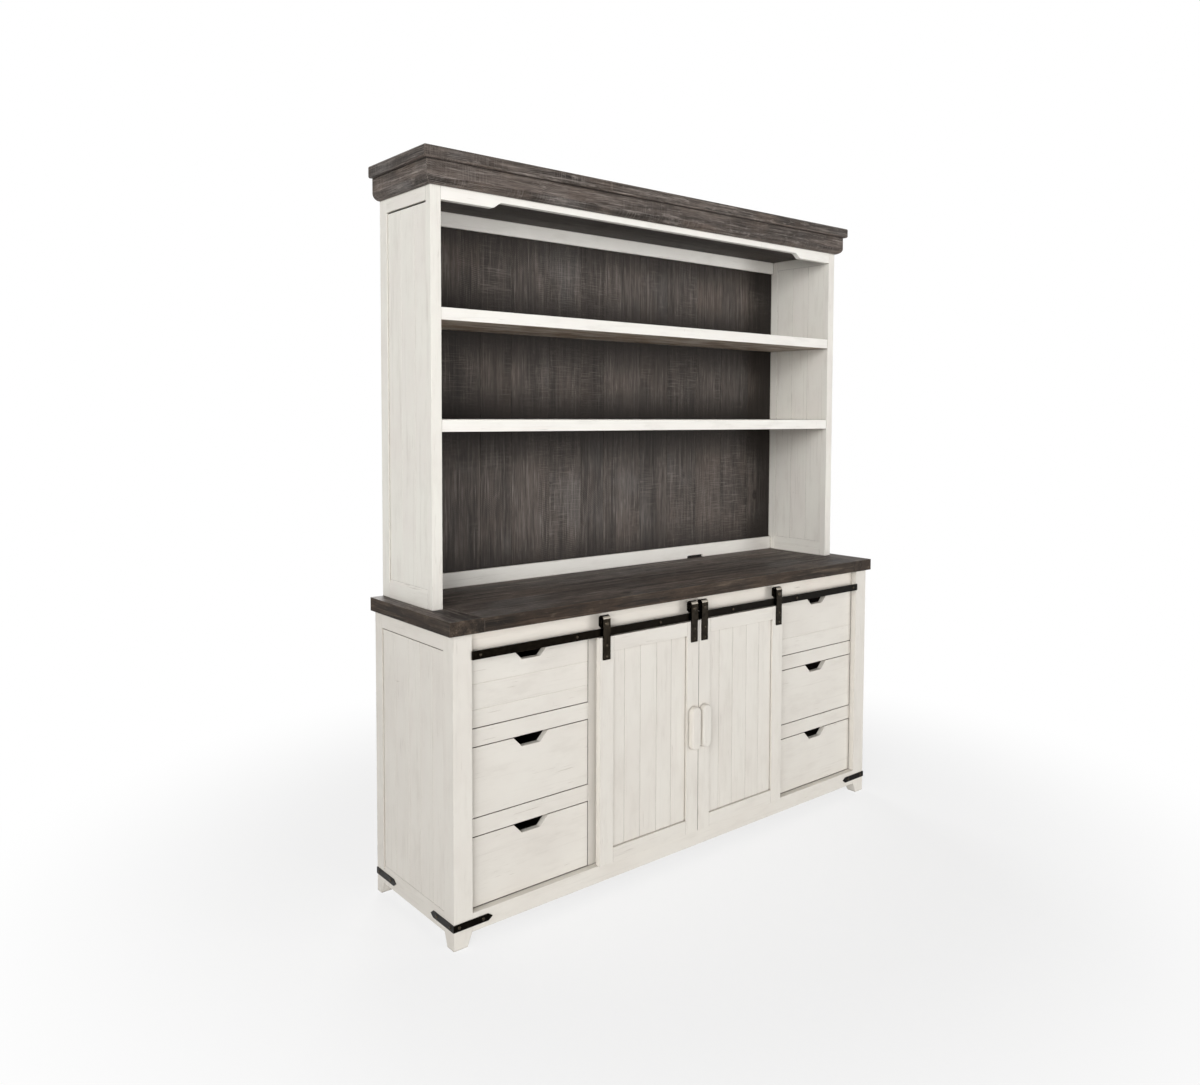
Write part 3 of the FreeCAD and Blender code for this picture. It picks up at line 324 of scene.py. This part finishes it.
def paint(name, axis, pale=PAINT, rose=PAINT_ROSE, streaked=0.22, lined=0.0, bare_under=False):
    """Rubbed off-white paint over wood: faint grain, fine checks, scuffs, and corners and cracks darkened
    with glaze and grime that are partly painted shade. streaked brings out the grain, lined rubs every edge,
    and bare_under leaves wood bare below."""
    s = Surface(name)
    axis = grain_axis(s, axis)
    figure = s.noise(s.grain(axis, 3.2, 85.0), detail=6.0, roughness=0.66)
    fibre = s.noise(s.grain(axis, 16.0, 560.0), detail=3.0, roughness=0.6)
    check = s.noise(s.grain(axis, 9.0, 260.0), detail=2.0, roughness=0.5)
    cloud = s.noise(s.evenly(5.0), detail=3.0, roughness=0.55)
    blotch = s.noise(s.grain(axis, 8.0, 30.0), detail=4.0, roughness=0.6)
    patch = s.noise(s.evenly(11.0), detail=2.0, roughness=0.5)
    nick = s.noise(s.grain(axis, 120.0, 17.0), detail=3.0, roughness=0.6)
    colour = s.mix(s.ramp(cloud, 0.34, 0.70), pale, rose)
    colour = s.cover(colour, PAINT_GLAZE_AND_SHADE, s.ramp(blotch, 0.48, 0.74), 0.13)
    colour = s.cover(colour, PAINT_GLAZE_AND_SHADE, s.ramp(figure, 0.54, 0.78), streaked)
    colour = s.cover(colour, PAINT_GLAZE_AND_SHADE, s.ramp(fibre, 0.60, 0.78), 0.12)
    checks = s.times(s.ramp(check, 0.665, 0.72), s.ramp(patch, 0.48, 0.64))
    colour = s.cover(colour, PAINT_BARE, checks, 0.36)
    nicks = s.times(s.ramp(nick, 0.69, 0.76), s.ramp(patch, 0.55, 0.68))
    colour = s.cover(colour, PAINT_BARE, nicks, 0.36)
    chips = s.ramp(s.noise(s.evenly(30.0), detail=4.0, roughness=0.65), 0.46, 0.64)
    edges = s.edges(PAINT_RUB)
    colour = s.cover(colour, PAINT_BARE, edges, lined)
    colour = s.cover(colour, PAINT_BARE, s.times(edges, chips), 0.50)
    if bare_under:
        wood = s.mix(s.ramp(figure, 0.36, 0.68), UNDER, UNDER_DARK)
        knot = s.ramp(s.noise(s.grain(axis, 6.0, 14.0), detail=2.0, roughness=0.5), 0.68, 0.75)
        wood = s.cover(wood, UNDER_KNOT, knot, 0.85)
        bare = s.plus(0.65, s.times(s.ramp(blotch, 0.36, 0.60), 0.35))
        colour = s.cover(colour, wood, s.ramp(s.facing_up(), -0.5, -0.8), bare)
    # Corners and cracks darkened by how shut in they are: glaze and dirt, and painted shade
    shelter = s.shelter(PAINT_CRACK)
    colour = s.cover(colour, PAINT_GLAZE_AND_SHADE, s.ramp(shelter, 0.20, 0.52), 0.55)
    colour = s.cover(colour, GRIME_AND_SHADE, s.ramp(shelter, 0.52, 0.80), 0.92)
    roughness = s.plus(0.42, s.times(figure, 0.22))
    s.shader.inputs["Specular IOR Level"].default_value = PAINT_SPECULAR
    height = s.plus(s.times(figure, 0.6), s.times(fibre, 0.4))
    height = s.minus(height, s.plus(checks, nicks))
    return s.finish(colour, roughness, height, PAINT_RELIEF, strength=0.5)


def saw_marks(s, axis, patch, streak):
    """Fine marks across the grain in patches, and elsewhere waves that lean another way on each stave."""
    marks = s.noise(s.grain(axis, 420.0, 16.0), detail=2.0, roughness=0.5)
    marks = s.times(s.ramp(marks, 0.48, 0.72), s.ramp(patch, 0.42, 0.60))
    split = s.parts(s.coords)
    stave = s.math("FLOOR", s.times(split[0], STAVES))
    lean = s.put("TexWhiteNoise", {"W": stave}, noise_dimensions="1D").outputs["Value"]
    lean = s.times(s.minus(lean, 0.5), KERF_LEAN)
    slope = s.plus(s.times(split[2], KERFS), s.times(split[0], lean))
    wander = s.noise(s.evenly(9.0), detail=2.0, roughness=0.5)
    wave = s.math("SINE", s.plus(slope, s.times(wander, KERF_WANDER)))
    kerfs = s.times(s.ramp(wave, 0.30, 0.95), s.ramp(patch, 0.60, 0.44))
    kerfs = s.times(kerfs, s.ramp(streak, 0.38, 0.56))
    return s.plus(marks, kerfs)


def stain(name, axis, fineness=1.0, lift=1.0, varied=0.4, evenness=0.0, edged=0.0, mottled=0.2, sawn=0.0,
          rubbed=0.62, painted_shade=0.0):
    """Dark stained, wire-brushed wood. lift lightens it, varied sets board against board, evenness calms its
    figure, edged darkens upright faces, partly as heavier stain and partly as painted shade, mottled blots
    it, sawn brings out saw marks, rubbed wears the edges, and painted_shade paints shade onto what lies deep
    inside."""
    s = Surface(name)
    axis = grain_axis(s, axis)
    coarse = s.grain(axis, 2.2 * fineness, 40.0 * fineness)
    figure = s.noise(coarse, detail=7.0, roughness=0.72, distortion=0.5)
    streak = s.noise(s.grain(axis, 6.5 * fineness, 150.0 * fineness), detail=5.0, roughness=0.70)
    fibre = s.noise(s.grain(axis, 26.0 * fineness, 700.0 * fineness), detail=3.0, roughness=0.6)
    cloud = s.noise(s.evenly(4.0), detail=3.0, roughness=0.5)
    patch = s.noise(s.scaled(s.coords, (5.0, 5.0, 2.6)), detail=2.0, roughness=0.5)
    colour = s.mix(s.ramp(figure, 0.34, 0.62), WOOD_DEEP, WOOD_MID)
    colour = s.cover(colour, WOOD_WARM, s.ramp(cloud, 0.50, 0.72), 0.55)
    colour = s.cover(colour, WOOD_COOL, s.ramp(cloud, 0.48, 0.30), 0.45)
    colour = s.cover(colour, WOOD_PALE, s.ramp(streak, 0.50, 0.72), 0.62)
    colour = s.cover(colour, WOOD_DEEP, s.ramp(streak, 0.44, 0.30), 0.70)
    colour = s.cover(colour, WOOD_DEEP, s.ramp(fibre, 0.52, 0.36), 0.60)
    colour = s.mix(evenness, colour, WOOD_EVEN)
    knot = s.ramp(s.noise(s.grain(axis, 7.0, 15.0), detail=2.0, roughness=0.5), 0.70, 0.77)
    colour = s.cover(colour, WOOD_DEEP, knot, 0.8)
    mottle = s.noise(s.grain(axis, 22.0, 60.0), detail=6.0, roughness=0.72)
    colour = s.cover(colour, WOOD_DEEP, s.ramp(mottle, 0.52, 0.68), mottled)
    colour = s.cover(colour, WOOD_PALE, s.ramp(mottle, 0.46, 0.32), mottled * 0.6)
    tone = s.plus(lift - varied * lift / 2, s.times(s.board, varied * lift))
    colour = s.put("VectorMath", {0: colour, "Scale": tone}, operation="SCALE").outputs[0]
    # Upright faces darkened: partly heavier stain, partly painted shade
    upright = s.ramp(s.unsigned(s.facing_up()), 0.8, 0.4)
    colour = s.cover(colour, UPRIGHT_STAIN_AND_SHADE, upright, edged, "MULTIPLY")
    sawing = s.times(saw_marks(s, axis, patch, streak), sawn)
    colour = s.mix(sawing, colour, WOOD_PALE)
    chips = s.ramp(s.noise(s.evenly(22.0), detail=4.0, roughness=0.65), 0.42, 0.62)
    shelter = s.shelter(STAIN_CRACK)
    rub = s.times(s.times(s.edges(STAIN_RUB), chips), s.ramp(shelter, 0.30, 0.10))
    colour = s.cover(colour, WOOD_WORN, rub, rubbed)
    # Cracks and inner corners darkened by how shut in they are: painted shade
    colour = s.cover(colour, WOOD_DEEP, s.ramp(shelter, 0.30, 0.66), 0.90)
    # Painted shade: darker towards the back's ends, shelves and rails, deep inside the hutch
    if painted_shade:
        colour = s.cover(colour, WOOD_DEEP, s.ramp(s.shelter(PAINTED_SHADE_REACH), 0.05, 0.36), painted_shade)
    roughness = s.plus(0.46, s.times(streak, 0.22))
    s.shader.inputs["Specular IOR Level"].default_value = STAIN_SPECULAR
    height = s.minus(s.plus(s.times(streak, 0.6), s.times(fibre, 0.4)), sawing)
    return s.finish(colour, roughness, height, STAIN_RELIEF, strength=0.8)


def iron(name, rubbed, bright=0.0, painted_glint=0.0):
    """Oil-rubbed black iron, hammered a little. rubbed wears its edges warm, bright lightens it in spots,
    and painted_glint paints a highlight onto what slopes upwards."""
    s = Surface(name)
    dapple = s.noise(s.evenly(70.0), detail=4.0, roughness=0.6)
    speck = s.noise(s.evenly(600.0), detail=2.0, roughness=0.5)
    colour = s.mix(s.ramp(dapple, 0.40, 0.70), IRON, IRON_WARM)
    colour = s.cover(colour, IRON_WORN, s.ramp(dapple, 0.25, 0.55), bright)
    colour = s.cover(colour, IRON_WORN, s.times(s.edges(IRON_RUB), s.ramp(dapple, 0.42, 0.60)), rubbed)
    # A painted highlight on faces that slope upwards, the tops of the hangers' bends
    up = s.facing_up()
    painted_glint_mask = s.times(s.ramp(up, 0.15, 0.35), s.ramp(up, 0.95, 0.75))
    colour = s.cover(colour, IRON_PAINTED_GLINT, painted_glint_mask, painted_glint)
    roughness = s.plus(0.22, s.times(dapple, 0.28))
    s.shader.inputs["Metallic"].default_value = 1.0
    height = s.plus(s.times(dapple, 0.7), s.times(speck, 0.3))
    return s.finish(colour, roughness, height, IRON_RELIEF, strength=0.35)


def plain_wood(name, axis, pale, dark):
    """Unpainted softwood or board, for what is mostly hidden."""
    s = Surface(name)
    figure = s.noise(s.grain(axis, 2.5, 60.0), detail=5.0, roughness=0.62, distortion=0.4)
    fibre = s.noise(s.grain(axis, 20.0, 600.0), detail=3.0, roughness=0.6)
    colour = s.mix(s.ramp(figure, 0.36, 0.70), pale, dark)
    colour = s.cover(colour, dark, s.ramp(fibre, 0.52, 0.72), 0.35)
    roughness = s.plus(0.52, s.times(fibre, 0.25))
    return s.finish(colour, roughness, s.plus(figure, fibre), PLAIN_RELIEF, strength=0.4)


def steel(name):
    s = Surface(name)
    brush = s.noise(s.grain("x", 30.0, 900.0), detail=3.0, roughness=0.6)
    colour = s.mix(s.ramp(brush, 0.35, 0.70), STEEL, STEEL_DULL)
    s.shader.inputs["Metallic"].default_value = 1.0
    return s.finish(colour, s.plus(0.28, s.times(brush, 0.2)), brush, STEEL_RELIEF, strength=0.3)


def dress():
    """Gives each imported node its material."""
    drawers = [f"drawer_{side}_{row}" for side in ("left", "right") for row in ("top", "middle", "bottom")]
    wheels = [f"door_{side}_wheel_{end}" for side in ("left", "right") for end in ("inner", "outer")]
    upper = {"pale": PAINT_UPPER_LIT, "rose": PAINT_UPPER_LIT_ROSE}
    bright_lit = {"pale": PAINT_BRIGHT_LIT, "rose": PAINT_BRIGHT_LIT_ROSE}
    warm_lit = {"pale": PAINT_WARM_LIT, "rose": PAINT_WARM_LIT_ROSE}
    # On the counter, edged darkens the upright faces below its top: partly heavier stain, partly painted
    # shade
    counter = {"fineness": 0.45, "lift": 1.64, "edged": 1.0, "mottled": 0.4, "rubbed": 0.22}
    cornice = {"fineness": 0.7, "mottled": 0.5, "sawn": 0.25}
    looks = (
        (paint("paint_level", "x"), ["face_bottom_rail", "base_floor", "inner_shelf"]),
        (paint("paint_drawers", "x", lined=0.6),
         ["drawer_rails"] + [f"{drawer}_front" for drawer in drawers]),
        # The lighter paints below, inside the hutch, on the rail under the counter and on the hutch's
        # outside, are painted light
        (paint("paint_bright_lit", "x", **bright_lit), ["valance", "hutch_back_rails"]),
        (paint("paint_warm_lit", "x", **warm_lit), ["face_top_rail"]),
        (paint("paint_shelf", "x", **bright_lit, bare_under=True), ["shelf_lower", "shelf_upper"]),
        (paint("paint_deep", "y"), ["side_rails"]),
        (paint("paint_upright", "z"), [
            "front_posts", "rear_posts", "face_stiles", "side_panels", "partitions", "door_left_panel",
            "door_right_panel", "door_left_pull", "door_right_pull"]),
        (paint("paint_hutch", "z", **upper, streaked=0.32), ["hutch_stiles", "hutch_side_panels"]),
        (paint("paint_hutch_deep", "y", **upper), ["hutch_side_rails"]),
        (paint("paint_door", door_axis), ["door_left_frame", "door_right_frame"]),
        (stain("stain_counter", "x", **counter), ["counter_planks"]),
        (stain("stain_ends", "y", **counter), ["counter_ends"]),
        (stain("stain_soffit", "x", lift=0.72, evenness=0.4), ["hutch_soffit"]),
        (stain("stain_box", "y", evenness=0.3), [f"{drawer}_box" for drawer in drawers]),
        (stain("stain_cap", cap_axis, lift=1.2, **cornice), ["cornice_cap"]),
        (stain("stain_mould", mould_axis, lift=1.28, varied=0.1, **cornice), ["cornice_mould"]),
        (stain("stain_back", "z", lift=1.08, evenness=0.22, sawn=0.30, painted_shade=0.92), ["hutch_back_panel"]),
        (iron("iron", 0.25), ["barn_track", "track_spacers", "corner_straps"] + wheels),
        (iron("iron_hangers", 0.4, bright=0.06, painted_glint=0.8), ["door_left_hangers", "door_right_hangers"]),
        (iron("iron_bolts", 0.7, bright=0.28), [
            "track_bolts", "strap_bolts", "door_left_bolts", "door_right_bolts"]),
        (plain_wood("pine", "y", PINE, PINE_DARK), ["drawer_runners", "hutch_dowels"]),
        (plain_wood("board", "z", BOARD, BOARD_DARK), ["base_back"]),
        (steel("steel"), ["shelf_pins"]),
    )
    dressed = set()
    for material, names in looks:
        for name in names:
            nodes[name].material_slots[0].material = material
            dressed.add(name)
    if dressed != set(nodes):
        raise RuntimeError(f"nodes without a look: {sorted(set(nodes) ^ dressed)}")


def ease_edges():
    """Joins each node's split faces, rounds its sharp edges a little and shades smoothly over them."""
    for piece in nodes.values():
        weld = piece.modifiers.new("weld", "WELD")
        weld.merge_threshold = WELD
        flat = piece.modifiers.new("flat", "DECIMATE")
        flat.decimate_type = "DISSOLVE"
        flat.angle_limit = FLAT
        ease = piece.modifiers.new("ease", "BEVEL")
        ease.width = EASE_IRON if piece.material_slots[0].material.name.startswith("iron") else EASE
        ease.segments = EASE_SEGMENTS
        ease.limit_method = "ANGLE"
        ease.angle_limit = EASE_SHARP
        ease.use_clamp_overlap = True
        shade = piece.modifiers.new("shade", "WEIGHTED_NORMAL")
        shade.weight = FACE_WEIGHT
        shade.keep_sharp = False


def seen(n):
    """1 for what the camera sees straight, mirrored or through glass."""
    path = n.put("LightPath", {})
    both = n.math("MAXIMUM", path.outputs["Is Camera Ray"], path.outputs["Is Glossy Ray"])
    return n.math("MAXIMUM", both, path.outputs["Is Transmission Ray"])


def add_studio():
    world = bpy.data.worlds.new("studio")
    scene.world = world
    world.use_nodes = True
    n = Nodes(world.node_tree)
    sky = world.node_tree.nodes["Background"]
    strength = n.plus(SKY, n.times(seen(n), 1.0 - SKY))
    n.feed(sky.inputs["Color"], WHITE)
    n.feed(sky.inputs["Strength"], strength)
    add_floor()
    for name, (power, size, place, aim) in LAMPS.items():
        light = bpy.data.lights.new(name, "AREA")
        light.energy = power
        light.size = size
        lamp = bpy.data.objects.new(name, light)
        lamp.location = place
        lamp.rotation_euler = (aim - place).to_track_quat("-Z", "Y").to_euler()
        lamp.visible_camera = False
        scene.collection.objects.link(lamp)


def add_floor():
    """A pale floor that the camera sees as white, apart from a share of its shading near the object."""
    mesh = bpy.data.meshes.new("floor")
    h = FLOOR_HALF
    mesh.from_pydata([(-h, -h, 0), (h, -h, 0), (h, h, 0), (-h, h, 0)], [], [(0, 1, 2, 3)])
    floor = bpy.data.objects.new("floor", mesh)
    material = bpy.data.materials.new("floor")
    material.use_nodes = True
    n = Nodes(material.node_tree)
    material.node_tree.nodes.remove(material.node_tree.nodes["Principled BSDF"])
    matt = n.put("BsdfDiffuse", {"Color": FLOOR})
    glow = n.put("Emission", {"Color": WHITE, "Strength": 1.0})
    place = n.put("TexCoord", {}).outputs["Object"]
    away = n.put("VectorMath", {0: place}, operation="LENGTH").outputs["Value"]
    lit = n.minus(1.0, n.times(n.ramp(away, SHADOW_FAR, SHADOW_NEAR), SHADOW_SHARE))
    share = n.times(seen(n), lit)
    both = n.put("MixShader", {0: share, 1: matt.outputs[0], 2: glow.outputs[0]})
    n.feed(material.node_tree.nodes["Material Output"].inputs["Surface"], both.outputs[0])
    mesh.materials.append(material)
    scene.collection.objects.link(floor)


add_camera()
dress()
ease_edges()
add_studio()
scene.view_settings.view_transform = "Standard"
